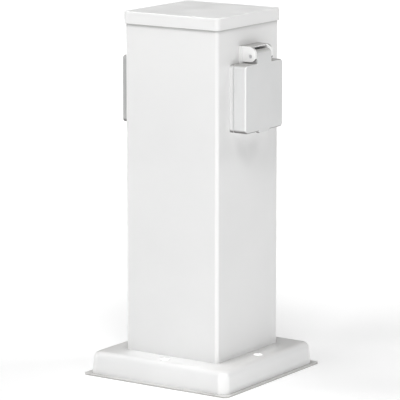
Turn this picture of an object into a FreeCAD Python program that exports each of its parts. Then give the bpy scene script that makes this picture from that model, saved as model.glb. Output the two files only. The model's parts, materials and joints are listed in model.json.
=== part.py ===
import FreeCAD, Part

import math
import os

V = FreeCAD.Vector
X, Y, Z = V(1, 0, 0), V(0, 1, 0), V(0, 0, 1)
ORIGIN = V(0, 0, 0)
RIGHT_TURN, LEFT_TURN = 0, 180

os.makedirs("parts", exist_ok=True)

# A garden power post: a square tube on a formed base, with a lidded socket outlet on its
# right face (+X) and another on its left face (-X). The plain front looks along -Y.
# Millimetres and degrees throughout. Z = 0 is the ground.

# ---- post, cap and base: driving dimensions ----
total_height = 271.0
post_width = 81.3
post_wall = 1.5
post_corner_r = 2.5
cap_wall = 0.9
cap_gap = 0.5
cap_skirt = 9.0
cap_edge_r = 1.0
base_width = 128.0
base_height = 17.7
base_sheet = 1.2
flange_strip = 3.15
flange_corner_r = 4.0
dish_corner_r = 7.0
dish_top_r = 5.5
dish_draft = 1.2
anchor_hole_r = 3.5
anchor_from_post = 8.75

# ---- fastening of the post to the base, and the cap clips ----
block_side = 14.0
block_height = 20.0
block_edge_r = 2.0
block_gap = 0.3
m5_shank_r = 2.1
m5_hole_r = 2.75
m5_head_r = 4.5
m5_head_height = 3.3
m5_reach = 13.0
clip_sheet = 0.8
clip_width = 12.0
clip_top_leg = 11.0
clip_down_leg = 14.0

# ---- cable entry ----
grommet_bore_r = 7.0
grommet_seat_r = 10.0
grommet_lip = 2.5
grommet_lip_thick = 2.0
earth_stud_r = 2.5
earth_stud_height = 16.0
earth_stud_out = 24.0
stud_chamfer = 0.5
earth_washer_r = 5.0
earth_washer_thick = 1.0
earth_lug_r = 4.6
earth_lug_thick = 0.9
lug_reach = 9.0
lug_barrel = 8.0
lug_wall = 0.5
lead_rise = 18.0
lead_drop = 14.0
earth_nut_flats = 8.0
earth_nut_height = 4.0

# ---- supply terminal block, on a channel welded to the back wall ----
channel_width = 48.0
channel_height = 44.0
channel_depth = 8.5
channel_sheet = 1.5
channel_bottom = 64.0
strip_width = 42.0
strip_height = 24.0
strip_depth = 16.0
pole_pitch = 10.0
pole_width = 8.0
pole_depth = 9.0
wire_spread = 2.2
strip_screw_out = 18.0
clamp_screw_up = 6.0
clamp_inset = 3.0
small_screw_r = 1.5
small_head_r = 2.8
small_head_height = 2.0
head_room = 0.2
slot_width = 0.5
slot_depth = 0.7

# ---- socket outlet: panel flange, plug recess and contacts ----
socket_height = 211.0
outlet_side = 50.0
outlet_corner_r = 3.0
flange_thick = 2.8
gasket_margin = 2.0
gasket_thick = 1.0
gasket_gap = 0.1
panel_screw_half = 19.0
panel_screw_r = 2.0
panel_hole_r = 2.1
panel_head_r = 3.5
panel_nut_flats = 7.0
panel_nut_height = 3.2
panel_screw_tip = 1.5
seat_gap = 0.1
recess_r = 19.5
recess_depth = 17.5
collar_rise = 2.0
collar_wall = 1.7
tube_wall = 2.2
panel_gap = 0.3
floor_thick = 3.0
pin_half_pitch = 9.5
pin_hole_r = 2.75
contact_bore_r = 2.55
contact_wall = 0.75
contact_fit = 0.05
pin_reach = 19.5
carrier_thick = 2.0
carrier_margin = 0.5
tower_width = 10.0
tower_height = 12.0
tower_length = 6.5
clamp_width = 8.0
clamp_top = 4.5
clamp_side_gap = 1.45
clamp_length = 8.0
earth_strip = 0.8
earth_width = 5.0
earth_leg_inset = 0.7
earth_leg_rise = 12.0
earth_gap = 0.1
earth_tab_up = 1.2
earth_clamp_extra = 0.7
cover_wall = 1.5
cover_behind = 2.0
cover_gap = 0.5
boss_r = 3.4
centre_screw_r = 1.3
centre_screw_reach = 12.0
screw_room = 0.3
wire_r = 1.3
wire_hole_r = 1.4
wire_grip = 5.0
clamp_grip_share = 0.52
wire_first_bend = 14.0
wire_slant = 42.0
wire_lift = {("right", "live"): 12.0, ("left", "neutral"): 26.0}

# ---- lid, its hinge and its spring ----
lid_gap = 0.4
lid_depth = 10.6
lid_wall = 2.0
lid_edge_r = 1.0
finger_tab_width = 14.0
finger_tab_drop = 1.3
finger_tab_thick = 2.6
seal_r_in = 19.6
seal_r_out = 21.1
seal_gap = 0.3
pin_out = 9.35
pin_above_lid = 5.1
hinge_pin_r = 1.4
hinge_fit = 0.05
ear_inner = 9.6
ear_thick = 2.4
ear_front = 4.25
ear_nose_r = 4.5
ear_round_r = 5.5
ear_top = 7.1
ear_edge_r = 0.4
tab_margin = 0.8
tab_thick = 2.4
hood_thick = 1.2
hood_set_back = 0.1
knuckle_side_gap = 0.4
web_back = 1.0
slot_half = 5.2
slot_r = 6.4
slot_skin = 1.3
slot_floor = 4.9
slot_mouth = 0.8
coil_r = 2.1
coil_wire_r = 0.4
coil_half = 4.0
coil_turns = 7.75
fixed_leg = 6.8
lid_leg = 3.9

# ---- worked out ----
post_half = post_width / 2
post_inner = post_half - post_wall
cap_half = post_half + cap_gap + cap_wall
cap_corner_r = post_corner_r + cap_gap + cap_wall
post_top = total_height - cap_wall
base_half = base_width / 2
dish_half = base_half - flange_strip
anchor_circle_r = post_half + anchor_from_post
outlet_half = outlet_side / 2
gasket_half = outlet_half - gasket_margin
block_centre = post_inner - block_gap - block_side / 2
contact_r = contact_bore_r + contact_wall
earth_tab_z = boss_r + earth_tab_up
pin_up = outlet_half + pin_above_lid
collar_front = flange_thick + collar_rise
recess_floor = collar_front - recess_depth
tube_back = recess_floor - floor_thick
tube_r = recess_r + tube_wall
carrier_back = tube_back - carrier_thick
tower_back = carrier_back - tower_length
clamp_back = tower_back - clamp_length
wire_at = tower_back - clamp_length / 2
cover_inner_r = tube_r - cover_wall
clamp_corner = pin_half_pitch + clamp_width / 2
clamp_bottom = math.sqrt((cover_inner_r - clamp_side_gap) ** 2 - clamp_corner ** 2)
clamp_grip = clamp_grip_share * (clamp_bottom - boss_r)
cover_inner_back = clamp_back - cover_gap
cover_back = clamp_back - cover_behind
lid_back = flange_thick + lid_gap
lid_front = lid_back + lid_depth
ear_outer = ear_inner + ear_thick
knuckle_r = lid_front - pin_out
knuckle_half = ear_inner - knuckle_side_gap
channel_y = post_inner - channel_depth
strip_bottom = channel_bottom + (channel_height - strip_height) / 2
strip_top = strip_bottom + strip_height
strip_wire_y = channel_y - strip_depth / 2


def save(name, shapes):
    """One node: a solid, or a group of identical separate solids."""
    shapes = shapes if isinstance(shapes, list) else [shapes]
    solids = [solid for shape in shapes for solid in shape.Solids]
    whole = solids[0] if len(solids) == 1 else Part.makeCompound(solids)
    whole.exportStep("parts/" + name + ".step")


def rod(start, along, radius, length):
    return Part.makeCylinder(radius, length, start, along)


def block(x0, x1, y0, y1, z0, z1):
    return Part.makeBox(x1 - x0, y1 - y0, z1 - z0, V(x0, y0, z0))


def edges_along(shape, axis):
    """The straight edges of a shape that run along one axis."""
    found = []
    for edge in shape.Edges:
        if isinstance(edge.Curve, Part.Line) and abs(abs(edge.Curve.Direction.dot(axis)) - 1) < 1e-6:
            found.append(edge)
    return found


def upright(half, corner_r, z0, z1):
    """A square column about Z with rounded corners."""
    column = block(-half, half, -half, half, z0, z1)
    return column.makeFillet(corner_r, edges_along(column, Z))


def plate(half, corner_r, d0, d1):
    """A square plate about X with rounded corners."""
    slab = block(d0, d1, -half, half, -half, half)
    return slab.makeFillet(corner_r, edges_along(slab, X))


def edges_at(shape, axis, level):
    """Every edge of a shape that lies wholly in the plane where axis equals level."""
    return [e for e in shape.Edges if all(abs(v.Point.dot(axis) - level) < 1e-6 for v in e.Vertexes)]


def hex_prism(centre, along, flats, height):
    """A hexagon nut's outer shape."""
    corner = flats / 2 / math.cos(math.pi / 6)
    side = Y if abs(along.dot(Y)) < 0.5 else Z
    other = along.cross(side)
    points = []
    for i in range(7):
        turn = math.radians(60 * i)
        points.append(centre + side * (corner * math.cos(turn)) + other * (corner * math.sin(turn)))
    return Part.Face(Part.makePolygon(points)).extrude(along * height)


def corners(half):
    return [(sx * half, sy * half) for sx in (-1, 1) for sy in (-1, 1)]


# ---- base ----
def dish_form(inset, top):
    """The dish's outer form, or its inner one when inset by the sheet."""
    half_foot = dish_half - inset
    half_top = half_foot - dish_draft
    corner = dish_corner_r - inset
    rims = []
    for half, level in ((half_foot, 0), (half_top, top)):
        rim = upright(half, corner, level, level + 1)
        rims.append(Part.Wire(Part.__sortEdges__(edges_at(rim, Z, level))))
    form = Part.makeLoft(rims, True, True)
    return form.makeFillet(dish_top_r - inset, edges_at(form, Z, top))


def base_plate():
    strip = upright(base_half, flange_corner_r, 0, base_sheet)
    shell = strip.fuse(dish_form(0, base_height))
    shell = shell.cut(dish_form(base_sheet, base_height - base_sheet))
    low = base_height - 2 * base_sheet
    for turn in (0, 90, 180, 270):
        way = FreeCAD.Rotation(Z, turn).multVec(X)
        shell = shell.cut(rod(way * anchor_circle_r + Z * low, Z, anchor_hole_r, 3 * base_sheet))
    for x, y in corners(block_centre):
        shell = shell.cut(rod(V(x, y, low), Z, m5_hole_r, 3 * base_sheet))
    return shell.cut(rod(V(0, 0, low), Z, grommet_seat_r, 3 * base_sheet)).removeSplitter()


def corner_blocks():
    """Tapped blocks welded in the post's four corners, for the screws through the base."""
    made = []
    half = block_side / 2
    for x, y in corners(block_centre):
        lump = block(x - half, x + half, y - half, y + half, base_height, base_height + block_height)
        lump = lump.makeFillet(block_edge_r, edges_along(lump, Z))
        made.append(lump.cut(rod(V(x, y, base_height), Z, m5_shank_r, m5_reach)))
    return made


def base_screws():
    made = []
    underside = base_height - base_sheet
    for x, y in corners(block_centre):
        head = rod(V(x, y, underside - m5_head_height), Z, m5_head_r, m5_head_height)
        head = head.makeFillet(m5_head_height / 3, edges_at(head, Z, underside - m5_head_height))
        shank = rod(V(x, y, underside), Z, m5_shank_r, base_sheet + m5_reach - 1)
        made.append(head.fuse(shank))
    return made


def cable_grommet():
    """A rubber ring that grips the sheet round the cable opening."""
    lip_r = grommet_seat_r + grommet_lip
    low = base_height - base_sheet - grommet_lip_thick
    ring = rod(V(0, 0, low), Z, lip_r, grommet_lip_thick)
    ring = ring.fuse(rod(V(0, 0, low), Z, grommet_seat_r, 2 * grommet_lip_thick + base_sheet))
    ring = ring.fuse(rod(V(0, 0, base_height), Z, lip_r, grommet_lip_thick))
    return ring.cut(rod(V(0, 0, low), Z, grommet_bore_r, 3 * grommet_lip_thick)).removeSplitter()


# ---- post and cap ----
def post_tube():
    tube = upright(post_half, post_corner_r, base_height, post_top)
    tube = tube.cut(upright(post_inner, post_corner_r - post_wall, base_height, post_top))
    for turn in (RIGHT_TURN, LEFT_TURN):
        opening = rod(V(-2 * post_wall, 0, 0), X, tube_r + panel_gap, 4 * post_wall)
        for y, z in corners(panel_screw_half):
            opening = opening.fuse(rod(V(-2 * post_wall, y, z), X, panel_hole_r, 4 * post_wall))
        tube = tube.cut(on_post(opening, turn))
    return tube


def top_cap():
    """A pressed lid over the post's end, with a turned-down skirt."""
    low = total_height - cap_skirt
    shell = upright(cap_half, cap_corner_r, low, total_height)
    shell = shell.makeFillet(cap_edge_r, edges_at(shell, Z, total_height))
    return shell.cut(upright(post_half + cap_gap, post_corner_r + cap_gap, low, post_top))


def cap_clips():
    """Leaf clips under the cap, one pressing on each inner wall of the post."""
    made = []
    for turn in (0, 90, 180, 270):
        strip = block(post_inner - clip_top_leg, post_inner, -clip_width / 2, clip_width / 2,
                      post_top - clip_down_leg, post_top)
        hollow = block(post_inner - clip_top_leg, post_inner - clip_sheet, -clip_width / 2,
                       clip_width / 2, post_top - clip_down_leg, post_top - clip_sheet)
        leaf = strip.cut(hollow)
        leaf.rotate(ORIGIN, Z, turn)
        made.append(leaf)
    return made


# ---- supply terminals ----
def terminal_channel():
    half = channel_width / 2
    top = channel_bottom + channel_height
    channel = block(-half, half, channel_y, post_inner, channel_bottom, top)
    inner = half - channel_sheet
    channel = channel.cut(block(-inner, inner, channel_y + channel_sheet, post_inner, channel_bottom, top))
    middle = strip_bottom + strip_height / 2
    for side in (-1, 1):
        hole = rod(V(side * strip_screw_out, channel_y, middle), Y, small_screw_r, channel_sheet)
        channel = channel.cut(hole)
    return channel


def pole_places():
    return [(-pole_pitch, "live"), (0, "earth"), (pole_pitch, "neutral")]


def terminal_block():
    half = strip_width / 2
    body = block(-half, half, channel_y - strip_depth, channel_y, strip_bottom, strip_top)
    front = channel_y - strip_depth
    middle = strip_bottom + strip_height / 2
    for x, _ in pole_places():
        body = body.cut(pole_clamp_form(x))
        for dx in (-wire_spread, wire_spread):
            body = body.cut(rod(V(x + dx, strip_wire_y, strip_bottom), Z, wire_hole_r, strip_height))
            for dz in (-clamp_screw_up, clamp_screw_up):
                body = body.cut(rod(V(x + dx, front, middle + dz), Y, small_screw_r, strip_depth / 2))
    for side in (-1, 1):
        x = side * strip_screw_out
        body = body.cut(rod(V(x, front, middle), Y, small_screw_r, strip_depth))
        body = body.cut(rod(V(x, front, middle), Y, small_head_r + head_room, small_head_height))
    return body


def pole_clamp_form(x):
    half = pole_width / 2
    return block(x - half, x + half, strip_wire_y - pole_depth / 2, strip_wire_y + pole_depth / 2,
                 strip_bottom + clamp_inset, strip_top - clamp_inset)


def terminal_clamps():
    """One brass bar for each pole, bored for two wires above and two below."""
    made = []
    middle = strip_bottom + strip_height / 2
    for x, _ in pole_places():
        bar = pole_clamp_form(x)
        for dx in (-wire_spread, wire_spread):
            bar = bar.cut(rod(V(x + dx, strip_wire_y, strip_bottom), Z, wire_hole_r, strip_height))
            for dz in (-clamp_screw_up, clamp_screw_up):
                start = V(x + dx, strip_wire_y - pole_depth, middle + dz)
                bar = bar.cut(rod(start, Y, small_screw_r, pole_depth))
        made.append(bar)
    return made


def terminal_screws():
    made = []
    middle = strip_bottom + strip_height / 2
    start = strip_wire_y - pole_depth / 2
    for x, _ in pole_places():
        for dx in (-wire_spread, wire_spread):
            for dz in (-clamp_screw_up, clamp_screw_up):
                at = V(x + dx, start, middle + dz)
                screw = rod(at, Y, small_screw_r, strip_wire_y - wire_r - start)
                made.append(slotted(screw, at, Y, small_screw_r))
    return made


def slotted(screw, head_centre, along, radius):
    """The screw with a driver slot across its outer end."""
    side = Z if abs(along.dot(Z)) < 0.5 else X
    across = along.cross(side)
    corner = head_centre - side * (radius * 1.2) - across * (slot_width / 2)
    points = [corner, corner + side * (2.4 * radius), corner + side * (2.4 * radius) + across * slot_width]
    points += [corner + across * slot_width, corner]
    return screw.cut(Part.Face(Part.makePolygon(points)).extrude(along * slot_depth))


def terminal_fixing_screws():
    made = []
    front = channel_y - strip_depth
    middle = strip_bottom + strip_height / 2
    for side in (-1, 1):
        at = V(side * strip_screw_out, front, middle)
        screw = rod(at, Y, small_head_r, small_head_height)
        screw = screw.fuse(rod(at, Y, small_screw_r, strip_depth + channel_sheet + 1))
        made.append(slotted(screw, at, Y, small_head_r))
    return made


# ---- protective earth stud on the base ----
def earth_spot(z):
    return V(-earth_stud_out, -earth_stud_out / 2, z)


def earth_stack():
    """Stud welded to the base, then lug, washer and nut in the order they go on."""
    lug_z = base_height
    washer_z = lug_z + earth_lug_thick
    nut_z = washer_z + earth_washer_thick
    stud = rod(earth_spot(base_height), Z, earth_stud_r, earth_stud_height)
    stud = stud.makeChamfer(stud_chamfer, edges_at(stud, Z, base_height + earth_stud_height))
    hole = rod(earth_spot(base_height), Z, earth_stud_r, earth_stud_height)
    lug = rod(earth_spot(lug_z), Z, earth_lug_r, earth_lug_thick)
    barrel_at = earth_spot(lug_z) + X * lug_reach
    lug = lug.fuse(block(barrel_at.x - lug_reach, barrel_at.x, barrel_at.y - wire_r, barrel_at.y + wire_r,
                         lug_z, lug_z + earth_lug_thick))
    barrel = rod(V(barrel_at.x, barrel_at.y, lug_z), Z, wire_hole_r + lug_wall, lug_barrel)
    barrel = barrel.cut(rod(V(barrel_at.x, barrel_at.y, lug_z + earth_lug_thick), Z, wire_hole_r, lug_barrel))
    lug = lug.fuse(barrel).cut(hole)
    washer = rod(earth_spot(washer_z), Z, earth_washer_r, earth_washer_thick).cut(hole)
    nut = hex_prism(earth_spot(nut_z), Z, earth_nut_flats, earth_nut_height).cut(hole)
    return {"earth_stud": stud, "earth_lug": lug, "earth_washer": washer, "earth_nut": nut}


# ---- socket outlets, drawn about X with the panel's face at X = 0 ----
def on_post(shape, turn):
    """A piece drawn in the outlet's own frame, set on its face of the post."""
    out = shape.copy()
    out.translate(V(post_half, 0, socket_height))
    out.rotate(ORIGIN, Z, turn)
    return out


def ear_profile():
    """One hinge ear seen from the side, from the tab forward to its rounded nose."""
    def at(d, z):
        return V(pin_out + d, 0, pin_up + z)

    middle = V(ear_front - ear_round_r, 0, ear_top - ear_round_r)
    slant = ear_round_r * math.sqrt(0.5)
    nose_angle = math.acos(ear_front / ear_nose_r)
    nose_drop = -ear_nose_r * math.sin(nose_angle)
    half_way = math.radians(-90 + (90 - math.degrees(nose_angle)) / 2)
    back = tab_thick / 2 - pin_out
    edges = [
        Part.LineSegment(at(back, ear_top), at(middle.x, ear_top)),
        Part.Arc(at(middle.x, ear_top), at(middle.x + slant, middle.z + slant), at(ear_front, middle.z)),
        Part.LineSegment(at(ear_front, middle.z), at(ear_front, nose_drop)),
        Part.Arc(at(ear_front, nose_drop),
                 at(ear_nose_r * math.cos(half_way), ear_nose_r * math.sin(half_way)),
                 at(0, -ear_nose_r)),
        Part.LineSegment(at(0, -ear_nose_r), at(back, -ear_nose_r)),
        Part.LineSegment(at(back, -ear_nose_r), at(back, ear_top)),
    ]
    return Part.Face(Part.Wire([e.toShape() for e in edges]))


def hinge_rod(radius, half):
    return rod(V(pin_out, -half, pin_up), Y, radius, 2 * half)


def outlet_flange():
    """Panel flange, plug recess and hinge ears in one moulding."""
    body = plate(outlet_half, outlet_corner_r, 0, flange_thick)
    pocket = gasket_half + gasket_gap
    body = body.cut(plate(pocket, outlet_corner_r / 2, 0, gasket_thick + gasket_gap))
    body = body.fuse(rod(V(tube_back, 0, 0), X, tube_r, flange_thick - tube_back))
    body = body.fuse(rod(V(0, 0, 0), X, recess_r + collar_wall, collar_front))
    tab_half = ear_outer + tab_margin
    body = body.fuse(block(0, tab_thick, -tab_half, tab_half, outlet_half - 2, pin_up + ear_top))
    for side in (-1, 1):
        ear = ear_profile().extrude(Y * ear_thick)
        rims = [e for e in ear.Edges if e.BoundBox.YLength < 0.01 and e.BoundBox.XMax > tab_thick]
        ear = ear.makeFillet(ear_edge_r, rims)
        ear.translate(Y * (ear_inner if side > 0 else -ear_outer))
        root = block(0, flange_thick, min(side * ear_inner, side * ear_outer),
                     max(side * ear_inner, side * ear_outer), outlet_half - 2, pin_up - ear_nose_r / 2)
        body = body.fuse([ear, root])
    hood_z = pin_up + ear_top
    hood = block(0, pin_out - hood_set_back, -ear_outer, ear_outer, hood_z - hood_thick, hood_z)
    outline = ear_profile().extrude(Y * (2 * ear_outer))
    outline.translate(Y * -ear_outer)
    body = body.fuse(hood.common(outline))
    body = body.cut(rod(V(recess_floor, 0, 0), X, recess_r, recess_depth))
    for side in (-1, 1):
        body = body.cut(rod(V(tube_back, side * pin_half_pitch, 0), X, pin_hole_r, floor_thick))
        leg = side * (recess_r - earth_leg_inset - earth_strip / 2)
        half = earth_strip / 2 + 2 * earth_gap
        body = body.cut(block(tube_back, recess_floor, -earth_width / 2 - 2 * earth_gap,
                              earth_width / 2 + 2 * earth_gap, leg - half, leg + half))
    body = body.cut(rod(V(tube_back, 0, 0), X, centre_screw_r + screw_room, floor_thick))
    body = body.cut(centre_head(seat_gap))
    for y, z in corners(panel_screw_half):
        body = body.cut(rod(V(0, y, z), X, panel_hole_r, flange_thick))
        body = body.cut(panel_head(y, z, seat_gap))
    return body.cut(hinge_rod(hinge_pin_r, ear_outer + 1)).removeSplitter()


def panel_head(y, z, gap):
    """Countersunk head, flush with the flange; a gap makes its seat."""
    depth = panel_head_r - panel_screw_r
    return Part.makeCone(panel_screw_r + gap, panel_head_r + gap, depth, V(flange_thick - depth, y, z), X)


def centre_head(gap):
    depth = centre_screw_r
    return Part.makeCone(centre_screw_r + gap, 2 * centre_screw_r + gap, depth,
                         V(recess_floor - depth, 0, 0), X)


def outlet_gasket():
    ring = plate(gasket_half, outlet_corner_r / 2, 0, gasket_thick)
    ring = ring.cut(rod(V(0, 0, 0), X, tube_r + panel_gap, gasket_thick))
    for y, z in corners(panel_screw_half):
        ring = ring.cut(rod(V(0, y, z), X, panel_hole_r, gasket_thick))
    return ring


def panel_screws():
    made = []
    reach = post_wall + panel_nut_height + panel_screw_tip
    for y, z in corners(panel_screw_half):
        screw = panel_head(y, z, 0).fuse(rod(V(-reach, y, z), X, panel_screw_r, reach + flange_thick - 1))
        made.append(slotted(screw, V(flange_thick, y, z), X * -1, panel_head_r))
    return made


def panel_nuts():
    made = []
    for y, z in corners(panel_screw_half):
        nut = hex_prism(V(-post_wall, y, z), X * -1, panel_nut_flats, panel_nut_height)
        made.append(nut.cut(rod(V(-post_wall - panel_nut_height, y, z), X, panel_screw_r, panel_nut_height)))
    return made


def contact_carrier():
    """Plate behind the recess floor, with a tower round each line contact."""
    body = rod(V(carrier_back, 0, 0), X, recess_r - carrier_margin, carrier_thick)
    groove = earth_width / 2 + 2 * earth_gap
    body = body.cut(block(tube_back - earth_strip - 2 * earth_gap, tube_back, -groove, groove,
                          -recess_r, recess_r))
    body = body.cut(block(carrier_back, tube_back, -groove, groove, -earth_tab_z - 1.5 * earth_strip,
                          -earth_tab_z + earth_strip))
    for side in (-1, 1):
        y = side * pin_half_pitch
        body = body.fuse(block(tower_back, carrier_back, y - tower_width / 2, y + tower_width / 2,
                               -tower_height / 2, tower_height / 2))
        body = body.cut(rod(V(tower_back, y, 0), X, contact_r + contact_fit, tower_length + carrier_thick))
    return body.cut(rod(V(carrier_back, 0, 0), X, centre_screw_r + screw_room, carrier_thick))


def wire_clamp(y, half, z_top):
    """Brass block with a wire hole from below and a set screw hole from behind."""
    lump = block(clamp_back, tower_back, y - half, y + half, -clamp_bottom, z_top)
    lump = lump.cut(rod(V(wire_at, y, -clamp_bottom), Z, wire_hole_r, clamp_grip + 2))
    return lump.cut(rod(V(clamp_back, y, -clamp_bottom + clamp_grip - 1.5), X, small_screw_r,
                        wire_at - clamp_back))


def line_contact(side):
    y = side * pin_half_pitch
    sleeve = rod(V(tower_back, y, 0), X, contact_r, tube_back - tower_back - earth_gap)
    body = sleeve.fuse(wire_clamp(y, clamp_width / 2, clamp_top))
    return body.cut(rod(V(clamp_back, y, 0), X, contact_bore_r, tube_back - clamp_back)).removeSplitter()


def earth_contact():
    """Strip across the recess with a springy leg at its top and bottom, and its wire clamp."""
    half = earth_width / 2
    front = tube_back - earth_gap
    reach = recess_r - earth_leg_inset
    body = block(front - earth_strip, front, -half, half, -reach, reach)
    for side in (-1, 1):
        inner, outer = sorted((side * (reach - earth_strip), side * reach))
        body = body.fuse(block(front - earth_strip, recess_floor + earth_leg_rise, -half, half, inner, outer))
        bump = rod(V(recess_floor + earth_leg_rise * 0.7, -half, side * (reach - earth_strip)), Y,
                   earth_strip, earth_width)
        body = body.fuse(bump)
    body = body.fuse(block(tower_back, front, -half, half, -earth_tab_z - earth_strip, -earth_tab_z))
    body = body.cut(rod(V(front - earth_strip, 0, 0), X, centre_screw_r + screw_room, earth_strip))
    return body.fuse(wire_clamp(0, half + earth_clamp_extra, -earth_tab_z)).removeSplitter()


def wire_screws():
    made = []
    for y in (-pin_half_pitch, 0, pin_half_pitch):
        at = V(clamp_back, y, -clamp_bottom + clamp_grip - 1.5)
        made.append(slotted(rod(at, X, small_screw_r, wire_at - wire_r - clamp_back), at, X, small_screw_r))
    return made


def rear_cover():
    body = rod(V(cover_back, 0, 0), X, tube_r, tube_back - cover_back)
    body = body.cut(rod(V(cover_inner_back, 0, 0), X, cover_inner_r, tube_back - cover_inner_back))
    body = body.fuse(rod(V(cover_inner_back, 0, 0), X, boss_r, carrier_back - cover_inner_back))
    body = body.cut(rod(V(carrier_back - centre_screw_reach, 0, 0), X, centre_screw_r, centre_screw_reach))
    slot = pin_half_pitch + 2 * wire_hole_r
    return body.cut(block(cover_inner_back, tower_back + 1, -slot, slot,
                          -tube_r - 1, -clamp_bottom - cover_gap))


def centre_screw():
    tip = carrier_back - centre_screw_reach + 1
    screw = centre_head(0).fuse(rod(V(tip, 0, 0), X, centre_screw_r, recess_floor - centre_screw_r - tip))
    return slotted(screw, V(recess_floor, 0, 0), X * -1, 2 * centre_screw_r)


def lid():
    """The spring lid: a shallow box with a knuckle that turns between the ears."""
    shell = plate(outlet_half, outlet_corner_r, lid_back, lid_front)
    shell = shell.makeFillet(lid_edge_r, edges_at(shell, X, lid_front))
    knuckle = hinge_rod(knuckle_r, knuckle_half)
    knuckle = knuckle.common(block(pin_out - knuckle_r, lid_front, -knuckle_half, knuckle_half,
                                   pin_up - knuckle_r, pin_up + knuckle_r))
    web = block(pin_out - web_back, lid_front, -knuckle_half, knuckle_half,
                outlet_half - lid_wall - lid_edge_r, pin_up)
    shell = shell.fuse([knuckle, web])
    inner = outlet_half - lid_wall
    shell = shell.cut(plate(inner, outlet_corner_r - lid_wall / 2, lid_back, lid_front - lid_wall))
    shell = shell.cut(spring_room()).cut(hinge_rod(hinge_pin_r + hinge_fit, knuckle_half))
    return shell.fuse(finger_tab()).removeSplitter()


def spring_room():
    """The hollow in the knuckle for the coil, closed in front and open towards the post."""
    low, high = pin_up - slot_floor, pin_up + slot_r
    chamber = hinge_rod(knuckle_r - slot_skin, slot_half)
    chamber = chamber.common(block(0, lid_front - slot_skin, -slot_half, slot_half, low, high))
    mouth = hinge_rod(slot_r, slot_half)
    mouth = mouth.common(block(0, pin_out + slot_mouth, -slot_half, slot_half, low, high))
    return chamber.fuse(mouth)


def finger_tab():
    """A small lip under the lid's lower edge, to lift it by."""
    half = finger_tab_width / 2
    tab = block(lid_front - finger_tab_thick, lid_front, -half, half,
                -outlet_half - finger_tab_drop, -outlet_half + lid_wall)
    rounded = [e for e in edges_along(tab, X) if e.CenterOfMass.z < -outlet_half]
    return tab.makeFillet(0.9 * finger_tab_drop, rounded)


def lid_seal():
    length = lid_front - lid_wall - collar_front - seal_gap
    start = V(collar_front + seal_gap, 0, 0)
    return rod(start, X, seal_r_out, length).cut(rod(start, X, seal_r_in, length))


def lid_spring():
    """Torsion spring round the pin, one leg on the tab and the other on the lid."""
    pitch = 2 * coil_half / coil_turns
    path = Part.Wire(Part.makeHelix(pitch, 2 * coil_half, coil_r).Edges)
    rise = math.atan2(pitch, 2 * math.pi * coil_r)
    ring = Part.Circle(V(coil_r, 0, 0), V(0, math.cos(rise), math.sin(rise)), coil_wire_r).toShape()
    coil = path.makePipeShell([Part.Wire([ring])], True, True)
    coil.rotate(ORIGIN, Z, 270)
    fixed = rod(V(0, -coil_r, 0), X * -1, coil_wire_r, fixed_leg)
    end = V(-coil_r, 0, 2 * coil_half)
    moving = rod(end, Y * -1, coil_wire_r, lid_leg)
    joints = [Part.makeSphere(coil_wire_r, V(0, -coil_r, 0)), Part.makeSphere(coil_wire_r, end)]
    spring = coil.fuse([fixed, moving] + joints)
    spring.translate(Z * -coil_half)
    spring.rotate(ORIGIN, X, 90)
    spring.translate(V(pin_out, 0, pin_up))
    return spring


def outlet_pieces():
    return {
        "outlet_flange": outlet_flange(),
        "outlet_gasket": outlet_gasket(),
        "panel_screws": panel_screws(),
        "panel_nuts": panel_nuts(),
        "contact_carrier": contact_carrier(),
        "live_contact": line_contact(1),
        "neutral_contact": line_contact(-1),
        "earth_contact": earth_contact(),
        "wire_screws": wire_screws(),
        "rear_cover": rear_cover(),
        "centre_screw": centre_screw(),
        "hinge_pin": hinge_rod(hinge_pin_r, ear_outer),
        "lid_spring": lid_spring(),
        "lid": lid(),
        "lid_seal": lid_seal(),
    }


# ---- wires ----
def wire_along(points, name):
    """A tube of straight runs joined by tangent arcs, each as large as its two runs allow."""
    edges = []
    at = points[0]
    for i in range(1, len(points) - 1):
        corner = points[i]
        back, on = points[i - 1] - corner, points[i + 1] - corner
        half_turn = (math.pi - back.getAngle(on)) / 2
        reach = 0.45 * min(back.Length, on.Length)
        radius = reach / math.tan(half_turn)
        back.normalize()
        on.normalize()
        start, end = corner + back * reach, corner + on * reach
        inward = back + on
        inward.normalize()
        middle = corner + inward * (radius / math.cos(half_turn) - radius)
        edges.append(Part.LineSegment(at, start).toShape())
        edges.append(Part.Arc(start, middle, end).toShape())
        at = end
        print(name, "bend radius", round(radius, 1))
    edges.append(Part.LineSegment(at, points[-1]).toShape())
    path = Part.Wire(edges)
    ring = Part.Wire([Part.Circle(points[0], points[1] - points[0], wire_r).toShape()])
    tube = path.makePipeShell([ring], True, False)
    print(name, "volume share", round(tube.Volume / (math.pi * wire_r ** 2 * path.Length), 4))
    return tube


def wires():
    """Each pole of the terminal block to its clamp on each outlet, and the earth lead."""
    made = {}
    leave = strip_top - wire_grip
    clamp_z = socket_height - clamp_bottom
    clamp_y = {"live": pin_half_pitch, "earth": 0, "neutral": -pin_half_pitch}
    for outlet, way in (("left", -1), ("right", 1)):
        for x, pole in pole_places():
            foot = V(x + way * wire_spread, strip_wire_y, leave)
            head = V(way * (post_half + wire_at), way * clamp_y[pole], clamp_z + clamp_grip)
            bend_z = strip_top + wire_first_bend + wire_lift.get((outlet, pole), 0)
            made[outlet + "_" + pole + "_wire"] = wire_along(
                [foot, V(foot.x, foot.y, bend_z), V(head.x, head.y, bend_z + wire_slant), head],
                outlet + "_" + pole)
    lug = earth_spot(base_height + earth_lug_thick) + X * lug_reach
    foot = V(-wire_spread, strip_wire_y, strip_bottom + wire_grip)
    made["earth_lead"] = wire_along(
        [lug, lug + Z * lead_rise, V(foot.x, foot.y, strip_bottom - lead_drop), foot], "earth_lead")
    return made


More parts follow.
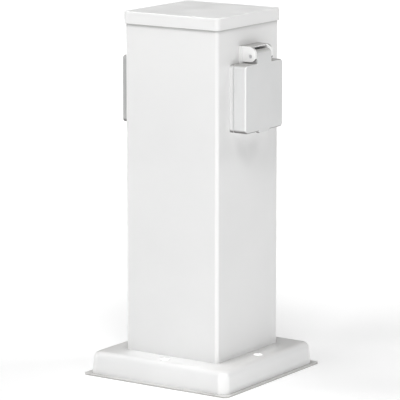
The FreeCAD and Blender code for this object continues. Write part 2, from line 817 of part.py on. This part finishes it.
# ---- all nodes ----
nodes = {
    "base_plate": base_plate(),
    "corner_blocks": corner_blocks(),
    "base_screws": base_screws(),
    "cable_grommet": cable_grommet(),
    "post_tube": post_tube(),
    "top_cap": top_cap(),
    "cap_clips": cap_clips(),
    "terminal_channel": terminal_channel(),
    "terminal_block": terminal_block(),
    "terminal_clamps": terminal_clamps(),
    "terminal_screws": terminal_screws(),
    "terminal_fixing_screws": terminal_fixing_screws(),
}
nodes.update(earth_stack())
nodes.update(wires())

for outlet, turn in (("right", RIGHT_TURN), ("left", LEFT_TURN)):
    for name, shapes in outlet_pieces().items():
        group = shapes if isinstance(shapes, list) else [shapes]
        nodes[outlet + "_" + name] = [on_post(shape, turn) for shape in group]

for name, shapes in nodes.items():
    save(name, shapes)
print(len(nodes), "nodes")
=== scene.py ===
import json
import math

import bpy
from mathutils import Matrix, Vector

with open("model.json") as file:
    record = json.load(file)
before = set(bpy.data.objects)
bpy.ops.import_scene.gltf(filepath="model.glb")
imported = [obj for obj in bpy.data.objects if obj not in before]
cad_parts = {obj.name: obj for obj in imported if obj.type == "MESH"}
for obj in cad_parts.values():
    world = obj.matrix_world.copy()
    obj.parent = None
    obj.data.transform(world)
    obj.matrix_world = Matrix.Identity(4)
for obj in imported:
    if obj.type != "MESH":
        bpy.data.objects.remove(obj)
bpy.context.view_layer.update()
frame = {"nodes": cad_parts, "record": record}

NODES = frame["nodes"]
MM = 0.001


def node_box(name):
    """Lowest and highest corner of one CAD node, in metres."""
    node = NODES[name]
    corners = [node.matrix_world @ Vector(corner) for corner in node.bound_box]
    return [Vector(pick(corner[axis] for corner in corners) for axis in range(3)) for pick in (min, max)]


# ---- places on the object ----
POST_HALF = node_box("post_tube")[1].x
BASE_HALF = node_box("base_plate")[1].x
CAP_BOTTOM, CAP_TOP = (corner.z for corner in node_box("top_cap"))
OUTLET_BOTTOM = node_box("right_outlet_flange")[0].z
# Heights of the thin painted shadow under the cap's skirt, which stops at the cap.
UNDER_CAP = (CAP_BOTTOM - 1.4 * MM, CAP_BOTTOM - 0.4 * MM)
IN_CAP = (CAP_BOTTOM, CAP_BOTTOM + 0.1 * MM)
# Heights over which the paint gets paler towards the top: painted light.
TOP_LIGHT_HEIGHTS = (0.627 * CAP_TOP, 1.015 * CAP_TOP)
# Heights of the painted shade along the rim on the ground.
GROUND_SHADE_HEIGHTS = (0.8 * MM, 1.5 * MM)
# Where the painted shade goes on the base's ledge.
ABOVE_BASE = (30 * MM, 40 * MM)
LEDGE_SIDE = (0.47 * BASE_HALF, 0.78 * BASE_HALF)
LEDGE_CORNER = 14 * MM
# Where the painted shade goes on the left outlet's sides.
LEFT_PANEL = (-POST_HALF - 19.4 * MM, -POST_HALF - 2.4 * MM)
LEFT_HALF = (-0.5 * MM, 0.5 * MM)
# Where the painted light goes on the hinge ears.
EARS_FROM = (OUTLET_BOTTOM + 50.5 * MM, OUTLET_BOTTOM + 52 * MM)
EARS_SIDE = (9.3 * MM, 9.6 * MM)

# ---- colours that several finishes share ----
# Painted light: highlights along edges and upright corners, and the paler hinge ears.
LIT_PAINT, CORNER_HIGHLIGHT = (0.97, 0.97, 0.965), (0.98, 0.98, 0.975)
PLASTIC_CORNER_HIGHLIGHT = (0.97, 0.97, 0.97)
# Painted light: the paint paler towards the top.
TOP_LIGHT_PAINT = (0.91, 0.91, 0.905)
# Painted shade: in seams, along the rim on the ground, the thin shadow under the cap, on the ledge and its
# corner against the post, on level tops, along lower rims and on the left outlet's sides.
SEAM_SHADE = (0.5, 0.495, 0.485)
GROUND_SHADE = (0.5, 0.495, 0.48)
CAP_SHADOW = (0.6, 0.6, 0.59)
LEDGE_SHADE, LEDGE_CORNER_SHADE = (0.8, 0.795, 0.785), (0.4, 0.395, 0.385)
TOP_SHADE = (0.4, 0.395, 0.385)
UNDERSIDE_SHADE = (0.2, 0.195, 0.19)
PANEL_SHADE = (0.3, 0.3, 0.295)
EDGE_EASE = 0.5 * MM


# ---- helpers for materials ----
def new_material(name, colour, roughness, metallic=0.0):
    """A material with its principled shader ready; returns (nodes, links, shader)."""
    material = bpy.data.materials.new(name)
    material.use_nodes = True
    nodes, links = material.node_tree.nodes, material.node_tree.links
    shader = nodes["Principled BSDF"]
    shader.inputs["Base Color"].default_value = (*colour, 1.0)
    shader.inputs["Roughness"].default_value = roughness
    shader.inputs["Metallic"].default_value = metallic
    return material, nodes, links, shader


def math_node(nodes, links, operation, *values):
    """Sums, products and absolute values of patterns."""
    made = nodes.new("ShaderNodeMath")
    made.operation = operation
    for socket, value in zip(made.inputs, values):
        links.new(value, socket)
    return made.outputs["Value"]


def overlap(nodes, links, *masks):
    """1 only where every mask is 1."""
    shared = masks[0]
    for mask in masks[1:]:
        shared = math_node(nodes, links, "MULTIPLY", shared, mask)
    return shared


def shares(nodes, links, output):
    """X, Y and Z of one of the surface's coordinates."""
    place = nodes.new("ShaderNodeTexCoord")
    parts = nodes.new("ShaderNodeSeparateXYZ")
    links.new(place.outputs[output], parts.inputs["Vector"])
    return parts.outputs


def object_place(nodes, links):
    """The piece's own X, Y and Z, in metres."""
    return shares(nodes, links, "Object")


def own_normal(nodes, links):
    """X, Y and Z of the surface's direction, in the piece's own frame."""
    return shares(nodes, links, "Normal")


def noise(nodes, links, scale, detail=4.0, rough=0.5, stretch=(1.0, 1.0, 1.0)):
    """Noise on the piece's own coordinates, in waves per metre."""
    place = nodes.new("ShaderNodeTexCoord")
    turn = nodes.new("ShaderNodeMapping")
    turn.inputs["Scale"].default_value = stretch
    links.new(place.outputs["Object"], turn.inputs["Vector"])
    made = nodes.new("ShaderNodeTexNoise")
    made.inputs["Scale"].default_value = scale
    made.inputs["Detail"].default_value = detail
    made.inputs["Roughness"].default_value = rough
    links.new(turn.outputs["Vector"], made.inputs["Vector"])
    return made.outputs["Fac"]


def spread(nodes, links, value, low, high, from_low=0.3, from_high=0.7):
    """A pattern's value carried from one range to another."""
    made = nodes.new("ShaderNodeMapRange")
    made.inputs["From Min"].default_value = from_low
    made.inputs["From Max"].default_value = from_high
    made.inputs["To Min"].default_value = low
    made.inputs["To Max"].default_value = high
    links.new(value, made.inputs["Value"])
    return made.outputs["Result"]


def two_tone(nodes, links, value, low, high):
    """Low where the value is 0 and high where it is 1; each is a colour or another pattern."""
    made = nodes.new("ShaderNodeMix")
    made.data_type = "RGBA"
    for socket, tone in ((made.inputs["A"], low), (made.inputs["B"], high)):
        if isinstance(tone, tuple):
            socket.default_value = (*tone, 1.0)
        else:
            links.new(tone, socket)
    links.new(value, made.inputs["Factor"])
    return made.outputs["Result"]


def bumped(nodes, links, shader, height, depth, strength, ease):
    bump = nodes.new("ShaderNodeBump")
    bump.inputs["Distance"].default_value = depth
    bump.inputs["Strength"].default_value = strength
    links.new(height, bump.inputs["Height"])
    links.new(rounded_normal(nodes, ease), bump.inputs["Normal"])
    links.new(bump.outputs["Normal"], shader.inputs["Normal"])


def rounded_normal(nodes, radius):
    """The surface normal with the sharp edges eased, as a real moulding's are."""
    eased = nodes.new("ShaderNodeBevel")
    eased.samples = 4
    eased.inputs["Radius"].default_value = radius
    return eased.outputs["Normal"]


# Marks the edges: paint and plastic get a painted highlight there, and metal its rubbed brighter edges.
def highlight_and_wear_edges(nodes, links, radius):
    """1 along the piece's edges and 0 on its flats."""
    flat = nodes.new("ShaderNodeNewGeometry")
    match = nodes.new("ShaderNodeVectorMath")
    match.operation = "DOT_PRODUCT"
    links.new(rounded_normal(nodes, radius), match.inputs[0])
    links.new(flat.outputs["Normal"], match.inputs[1])
    return spread(nodes, links, match.outputs["Value"], 1.0, 0.0, 0.8, 0.99)


def open_air(nodes, links, reach, tight, clear):
    """0 deep in a seam and 1 in the open, for the painted shade that seams get."""
    seam = nodes.new("ShaderNodeAmbientOcclusion")
    seam.samples = 8
    seam.inputs["Distance"].default_value = reach
    return spread(nodes, links, seam.outputs["AO"], 0.0, 1.0, tight, clear)


# ---- painted light and shade ----
def highlit_corners(nodes, links):
    """1 along the rounded upright corners, where the surface gets a painted highlight, and 0 on the flats."""
    facing = own_normal(nodes, links)
    turned = math_node(nodes, links, "MULTIPLY", facing["X"], facing["Y"])
    return spread(nodes, links, math_node(nodes, links, "ABSOLUTE", turned), 0.0, 1.0, 0.03, 0.25)


def lit_ears(nodes, links, body):
    """The hinge ears, above the flange and outside the tongue, made paler as painted light."""
    place = object_place(nodes, links)
    above = spread(nodes, links, place["Z"], 0.0, 1.0, *EARS_FROM)
    outside = spread(nodes, links, math_node(nodes, links, "ABSOLUTE", place["Y"]), 0.0, 1.0, *EARS_SIDE)
    return two_tone(nodes, links, overlap(nodes, links, above, outside), body, LIT_PAINT)


def shaded_tops_and_rims(nodes, links, body):
    """Painted shade on the level tops and along the rounded lower rims."""
    upright = own_normal(nodes, links)["Z"]
    body = two_tone(nodes, links, spread(nodes, links, upright, 0.0, 1.0, 0.4, 0.85), body, TOP_SHADE)
    under = spread(nodes, links, upright, 1.0, 0.0, -0.5, -0.02)
    rounded = spread(nodes, links, upright, 0.0, 1.0, -0.98, -0.8)
    return two_tone(nodes, links, overlap(nodes, links, under, rounded), body, UNDERSIDE_SHADE)


def left_panel_shade(nodes, links, body):
    """Painted shade on the sides of the left outlet, more of it nearer the post."""
    place = object_place(nodes, links)
    panel = spread(nodes, links, place["X"], 0.0, 1.0, *LEFT_PANEL)
    left = spread(nodes, links, place["X"], 1.0, 0.0, *LEFT_HALF)
    turned = math_node(nodes, links, "ABSOLUTE", own_normal(nodes, links)["Y"])
    sideways = spread(nodes, links, turned, 0.0, 1.0, 0.5, 0.9)
    return two_tone(nodes, links, overlap(nodes, links, panel, left, sideways), body, PANEL_SHADE)


def lit_top(nodes, links, paint):
    """The paint made paler towards the top: painted light from above."""
    height = spread(nodes, links, object_place(nodes, links)["Z"], 0.0, 1.0, *TOP_LIGHT_HEIGHTS)
    return two_tone(nodes, links, height, paint, TOP_LIGHT_PAINT)


def ground_and_cap_shade(nodes, links, paint):
    """Painted shade on the rim that lies on the ground, and a thin painted shadow under the cap."""
    place = object_place(nodes, links)
    clear = spread(nodes, links, place["Z"], 0.0, 1.0, *GROUND_SHADE_HEIGHTS)
    paint = two_tone(nodes, links, clear, GROUND_SHADE, paint)
    below = spread(nodes, links, place["Z"], 0.0, 1.0, *UNDER_CAP)
    outside = spread(nodes, links, place["Z"], 1.0, 0.0, *IN_CAP)
    return two_tone(nodes, links, overlap(nodes, links, below, outside), paint, CAP_SHADOW)


def shaded_ledge(nodes, links, paint):
    """Painted shade on the base's ledge beside the outlets, darker where the ledge meets the post."""
    place = object_place(nodes, links)
    upward = spread(nodes, links, own_normal(nodes, links)["Z"], 0.0, 1.0, 0.6, 0.95)
    beside = spread(nodes, links, math_node(nodes, links, "ABSOLUTE", place["X"]), 0.0, 1.0, *LEDGE_SIDE)
    low = spread(nodes, links, place["Z"], 1.0, 0.0, *ABOVE_BASE)
    ledge = overlap(nodes, links, upward, beside, low)
    paint = two_tone(nodes, links, ledge, paint, LEDGE_SHADE)
    against = open_air(nodes, links, LEDGE_CORNER, 0.85, 0.5)
    return two_tone(nodes, links, overlap(nodes, links, ledge, against), paint, LEDGE_CORNER_SHADE)


# ---- finishes ----
def powder_coat():
    """Baked white paint: fine orange peel, faint clouding, painted highlights on edges and corners, painted
    shade in seams, along the ground rim, under the cap and on the ledge, and painted light towards the top.
    """
    material, nodes, links, shader = new_material("white_powder_coat", (0.85, 0.85, 0.845), 0.34)
    cloud = spread(nodes, links, noise(nodes, links, 14.0), 0.0, 1.0)
    paint = two_tone(nodes, links, cloud, (0.835, 0.837, 0.835), (0.87, 0.871, 0.868))
    # Painted highlight: the paint paler along its edges.
    edge = highlight_and_wear_edges(nodes, links, 1.2 * MM)
    paint = two_tone(nodes, links, edge, paint, LIT_PAINT)
    # Painted highlight along the upright corners.
    paint = two_tone(nodes, links, highlit_corners(nodes, links), paint, CORNER_HIGHLIGHT)
    # Painted shade: the paint darker in its seams.
    paint = two_tone(nodes, links, open_air(nodes, links, 1.2 * MM, 0.1, 0.5), SEAM_SHADE, paint)
    # Painted light towards the top, and painted shade along the ground rim, under the cap and on the ledge.
    for light_and_shade in (lit_top, ground_and_cap_shade, shaded_ledge):
        paint = light_and_shade(nodes, links, paint)
    links.new(paint, shader.inputs["Base Color"])
    links.new(spread(nodes, links, noise(nodes, links, 45.0), 0.28, 0.42), shader.inputs["Roughness"])
    bumped(nodes, links, shader, noise(nodes, links, 750.0, 2.0), 0.05 * MM, 0.3, EDGE_EASE)
    return material


def moulded(name, dark, light, roughness, outdoors=False, grain=1800.0):
    """Injection moulded plastic: fine spark grain, uneven sheen, painted highlights on the edges, painted
    shade in the seams.

    The outdoor pieces also have painted highlights on the corners, painted light on the hinge ears and
    painted shade on the tops, lower rims and the left outlet's sides.
    """
    material, nodes, links, shader = new_material(name, light, roughness)
    cloud = spread(nodes, links, noise(nodes, links, 30.0), 0.0, 1.0)
    body = two_tone(nodes, links, cloud, dark, light)
    # Painted highlight: the plastic paler along its edges.
    edge = highlight_and_wear_edges(nodes, links, 0.6 * MM)
    pale = tuple(min(0.97, part * 1.22 + 0.02) for part in light)
    body = two_tone(nodes, links, edge, body, pale)
    if outdoors:
        # Painted highlight along the upright corners.
        body = two_tone(nodes, links, highlit_corners(nodes, links), body, PLASTIC_CORNER_HIGHLIGHT)
        # Painted light on the hinge ears, and painted shade on tops, lower rims and the left outlet's sides.
        for light_and_shade in (lit_ears, shaded_tops_and_rims, left_panel_shade):
            body = light_and_shade(nodes, links, body)
    # Painted shade: the plastic darker in its seams.
    seam = open_air(nodes, links, 1.6 * MM, 0.1, 0.5)
    seam_shade = tuple(part * 0.85 for part in dark)
    links.new(two_tone(nodes, links, seam, seam_shade, body), shader.inputs["Base Color"])
    links.new(spread(nodes, links, noise(nodes, links, 160.0), roughness - 0.06, roughness + 0.06),
              shader.inputs["Roughness"])
    bumped(nodes, links, shader, noise(nodes, links, grain, 2.0), 0.02 * MM, 0.35, EDGE_EASE)
    return material


def rubber():
    """Black moulded rubber with a grey bloom."""
    material, nodes, links, shader = new_material("black_rubber", (0.03, 0.03, 0.03), 0.7)
    bloom = spread(nodes, links, noise(nodes, links, 90.0), 0.0, 1.0, 0.4, 0.75)
    body = two_tone(nodes, links, bloom, (0.018, 0.018, 0.019), (0.055, 0.055, 0.057))
    links.new(body, shader.inputs["Base Color"])
    links.new(spread(nodes, links, noise(nodes, links, 300.0), 0.6, 0.8), shader.inputs["Roughness"])
    bumped(nodes, links, shader, noise(nodes, links, 2200.0, 3.0), 0.04 * MM, 0.4, EDGE_EASE)
    return material


def metal(name, dark, light, roughness, stretch=(1.0, 1.0, 1.0)):
    """Bare or plated metal: drawn streaks, handling marks and brighter rubbed edges."""
    material, nodes, links, shader = new_material(name, light, roughness, 1.0)
    streak = spread(nodes, links, noise(nodes, links, 420.0, stretch=stretch), 0.0, 1.0)
    body = two_tone(nodes, links, streak, dark, light)
    edge = highlight_and_wear_edges(nodes, links, 0.3 * MM)
    bright = tuple(min(1.0, part * 1.2) for part in light)
    body = two_tone(nodes, links, edge, body, bright)
    # Painted shade: the metal darker in its seams.
    seam_shade = tuple(part * 0.3 for part in dark)
    body = two_tone(nodes, links, open_air(nodes, links, 1.0 * MM, 0.2, 0.7), seam_shade, body)
    links.new(body, shader.inputs["Base Color"])
    sheen = noise(nodes, links, 700.0, stretch=stretch)
    links.new(spread(nodes, links, sheen, roughness - 0.1, roughness + 0.1), shader.inputs["Roughness"])
    bumped(nodes, links, shader, noise(nodes, links, 2500.0, 2.0, stretch=stretch), 0.01 * MM, 0.3, 0.15 * MM)
    return material


def earth_insulation():
    """Green insulation with yellow stripes that run along the wire."""
    green, yellow = (0.03, 0.22, 0.03), (0.75, 0.6, 0.02)
    material, nodes, links, shader = new_material("earth_insulation", green, 0.42)
    facing = own_normal(nodes, links)
    quarter = math_node(nodes, links, "MULTIPLY", facing["X"], facing["Y"])
    stripe = spread(nodes, links, quarter, 0.0, 1.0, -0.02, 0.02)
    links.new(two_tone(nodes, links, stripe, green, yellow), shader.inputs["Base Color"])
    links.new(spread(nodes, links, noise(nodes, links, 200.0), 0.36, 0.48), shader.inputs["Roughness"])
    bumped(nodes, links, shader, noise(nodes, links, 1500.0, 2.0), 0.01 * MM, 0.3, EDGE_EASE)
    return material


FINISHES = {
    "white_powder_coat": powder_coat(),
    "white_plastic": moulded("socket_plastic", (0.82, 0.82, 0.82), (0.87, 0.87, 0.87), 0.4, outdoors=True),
    "light_grey_plastic": moulded("lid_plastic", (0.74, 0.745, 0.745), (0.78, 0.785, 0.785), 0.36,
                                  outdoors=True),
    "cream_plastic": moulded("terminal_plastic", (0.68, 0.65, 0.55), (0.76, 0.73, 0.63), 0.5),
    "black_rubber": rubber(),
    "brass": metal("brass", (0.52, 0.36, 0.14), (0.78, 0.58, 0.29), 0.34, stretch=(1.0, 1.0, 0.1)),
    "zinc_steel": metal("zinc_steel", (0.7, 0.71, 0.73), (0.85, 0.86, 0.87), 0.5),
    "spring_steel": metal("spring_steel", (0.6, 0.6, 0.62), (0.8, 0.8, 0.81), 0.4, stretch=(1.0, 0.2, 1.0)),
    "brown_insulation": moulded("brown_insulation", (0.08, 0.03, 0.012), (0.14, 0.055, 0.025), 0.42),
    "blue_insulation": moulded("blue_insulation", (0.008, 0.06, 0.28), (0.02, 0.11, 0.42), 0.42),
    "green_yellow_insulation": earth_insulation(),
}

for row in frame["record"]["subparts"]:
    node = NODES[row["node"]]
    node.data.materials.clear()
    node.data.materials.append(FINISHES[row["material_slot"]])


# ---- floor, light and camera ----
AZIMUTH, ELEVATION, DISTANCE = math.radians(33.97), math.radians(10.51), 2.068
LENS, SENSOR, SHIFT = 251.1, 36.0, (-0.0055, -0.0225)
CAMERA_AIM, LIGHT_AIM = Vector((0, 0, 0.1355)), Vector((0, 0, 0.14))
FLOOR_SIZE = 12.0
FLOOR_GLOW, FAR_GLOW = 0.13, 0.9
GLOW_NEAR, GLOW_FAR = 0.1, 1.6
UNDER_GLOW, UNDER_REACH = 1.5, 0.86 * BASE_HALF
SKY = 0.04
SOFTBOXES = {
    "high_front_softbox": ((-0.3, -1.1, 1.7), 0.7, 9),
    "low_camera_softbox": ((1.3, -0.9, 0.25), 0.3, 4),
    "high_right_softbox": ((0.9, 0.9, 1.5), 0.5, 7),
    "camera_high_softbox": ((0.7, -1.1, 1.9), 0.6, 18),
    "top_softbox": ((-0.1, -0.2, 2.4), 0.9, 6),
    "left_top_softbox": ((-1.0, -0.3, 2.0), 0.8, 12),
}


def floor_material():
    """Pale matt floor that glows under the base and more towards the back, as a lit sweep does."""
    material, nodes, links, shader = new_material("pale_floor", (0.97, 0.97, 0.97), 0.8)
    tone = spread(nodes, links, noise(nodes, links, 2.0), 0.0, 1.0)
    body = two_tone(nodes, links, tone, (0.96, 0.96, 0.96), (0.98, 0.98, 0.98))
    links.new(body, shader.inputs["Base Color"])
    place = nodes.new("ShaderNodeTexCoord")
    far = nodes.new("ShaderNodeVectorMath")
    far.operation = "LENGTH"
    links.new(place.outputs["Object"], far.inputs[0])
    behind = nodes.new("ShaderNodeVectorMath")
    behind.operation = "DOT_PRODUCT"
    links.new(place.outputs["Object"], behind.inputs[0])
    behind.inputs[1].default_value = (-math.sin(AZIMUTH), math.cos(AZIMUTH), 0.0)
    sweep = spread(nodes, links, behind.outputs["Value"], FLOOR_GLOW, FLOOR_GLOW + FAR_GLOW,
                   GLOW_NEAR, GLOW_FAR)
    under = spread(nodes, links, far.outputs["Value"], UNDER_GLOW, 0.0, UNDER_REACH, UNDER_REACH + MM)
    shader.inputs["Emission Color"].default_value = (1, 1, 1, 1)
    links.new(math_node(nodes, links, "ADD", sweep, under), shader.inputs["Emission Strength"])
    return material


bpy.ops.object.select_all(action="DESELECT")
bpy.ops.mesh.primitive_plane_add(size=FLOOR_SIZE, location=(0, 0, 0))
floor = bpy.context.active_object
floor.name = "studio_floor"
floor.data.materials.append(floor_material())


def soft_light(name, place, size, watts):
    """A square softbox that looks at the middle of the post."""
    data = bpy.data.lights.new(name, "AREA")
    data.shape = "SQUARE"
    data.size = size
    data.energy = watts
    lamp = bpy.data.objects.new(name, data)
    bpy.context.scene.collection.objects.link(lamp)
    lamp.location = place
    lamp.rotation_euler = (LIGHT_AIM - Vector(place)).to_track_quat("-Z", "Y").to_euler()


for name, (place, size, watts) in SOFTBOXES.items():
    soft_light(name, place, size, watts)

world = bpy.data.worlds.new("studio_air")
bpy.context.scene.world = world
world.use_nodes = True
world.node_tree.nodes["Background"].inputs["Color"].default_value = (1, 1, 1, 1)
world.node_tree.nodes["Background"].inputs["Strength"].default_value = SKY

camera_data = bpy.data.cameras.new("camera")
camera = bpy.data.objects.new("camera", camera_data)
bpy.context.scene.collection.objects.link(camera)
bpy.context.scene.camera = camera
back = Vector((math.sin(AZIMUTH) * math.cos(ELEVATION), -math.cos(AZIMUTH) * math.cos(ELEVATION),
               math.sin(ELEVATION)))
camera.location = CAMERA_AIM + back * DISTANCE
camera.rotation_euler = back.to_track_quat("Z", "Y").to_euler()
camera_data.lens = LENS
camera_data.sensor_width = SENSOR
camera_data.shift_x, camera_data.shift_y = SHIFT
camera_data.clip_end = 30.0

bpy.context.scene.view_settings.view_transform = "Standard"
